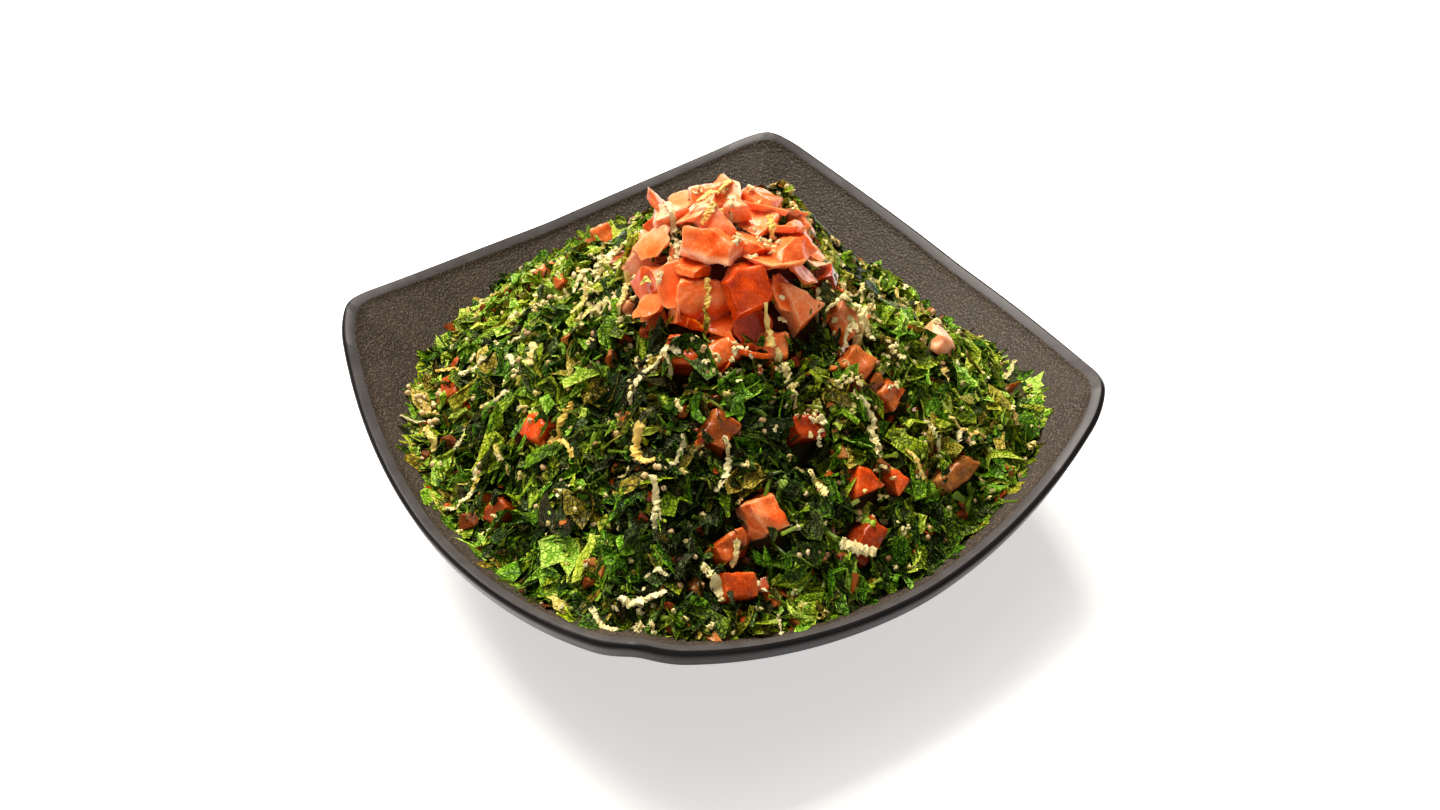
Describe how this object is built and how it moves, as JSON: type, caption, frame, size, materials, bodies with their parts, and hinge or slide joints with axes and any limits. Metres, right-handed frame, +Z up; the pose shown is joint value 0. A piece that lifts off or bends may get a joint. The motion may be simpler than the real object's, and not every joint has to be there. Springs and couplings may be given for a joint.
{
  "type": "tabbouleh salad in a square bowl",
  "caption": "Heaped tabbouleh salad with a crown of diced tomato and cheese shreds, in a square black bowl with bowed sides and raised round corners.",
  "frame": {"origin": "centre of the foot ring's underside, on the table, midway between the bowl's sides", "axes": "+Z up; X and Y run along the bowl's sides, so its corners lie on the diagonals"},
  "size_m": [0.2, 0.2, 0.1102],
  "materials": {
    "bowl": "black melamine: fine matte grain inside, satin band on the rim, gloss outside",
    "salad": "wet chopped parsley with grains, onion and cheese shreds",
    "tomato": "moist diced tomato flesh and skin"
  },
  "bodies": {
    "root": {"bowl": "bowl", "salad": "salad", "tomato_amber": "tomato", "tomato_amberside": "tomato", "tomato_arch": "tomato", "tomato_back_a": "tomato", "tomato_back_b": "tomato", "tomato_back_c": "tomato", "tomato_back_d": "tomato", "tomato_back_e": "tomato", "tomato_back_f": "tomato", "tomato_band": "tomato", "tomato_block": "tomato", "tomato_blush": "tomato", "tomato_brick": "tomato", "tomato_copper": "tomato", "tomato_cube": "tomato", "tomato_cup": "tomato", "tomato_curb": "tomato", "tomato_ember": "tomato", "tomato_facet": "tomato", "tomato_fan": "tomato", "tomato_far_a": "tomato", "tomato_far_b": "tomato", "tomato_far_c": "tomato", "tomato_far_d": "tomato", "tomato_gable": "tomato", "tomato_garnet": "tomato", "tomato_heel": "tomato", "tomato_knob": "tomato", "tomato_leafy": "tomato", "tomato_left": "tomato", "tomato_lens": "tomato", "tomato_peak": "tomato", "tomato_petal": "tomato", "tomato_quad": "tomato", "tomato_rind": "tomato", "tomato_root": "tomato", "tomato_rose": "tomato", "tomato_rust": "tomato", "tomato_seedy": "tomato", "tomato_shade": "tomato", "tomato_shelf": "tomato", "tomato_sill": "tomato", "tomato_spark": "tomato", "tomato_spike": "tomato", "tomato_spur": "tomato", "tomato_step": "tomato", "tomato_tab": "tomato", "tomato_tang": "tomato", "tomato_tawny": "tomato", "tomato_under": "tomato"}
  },
  "joints": []
}
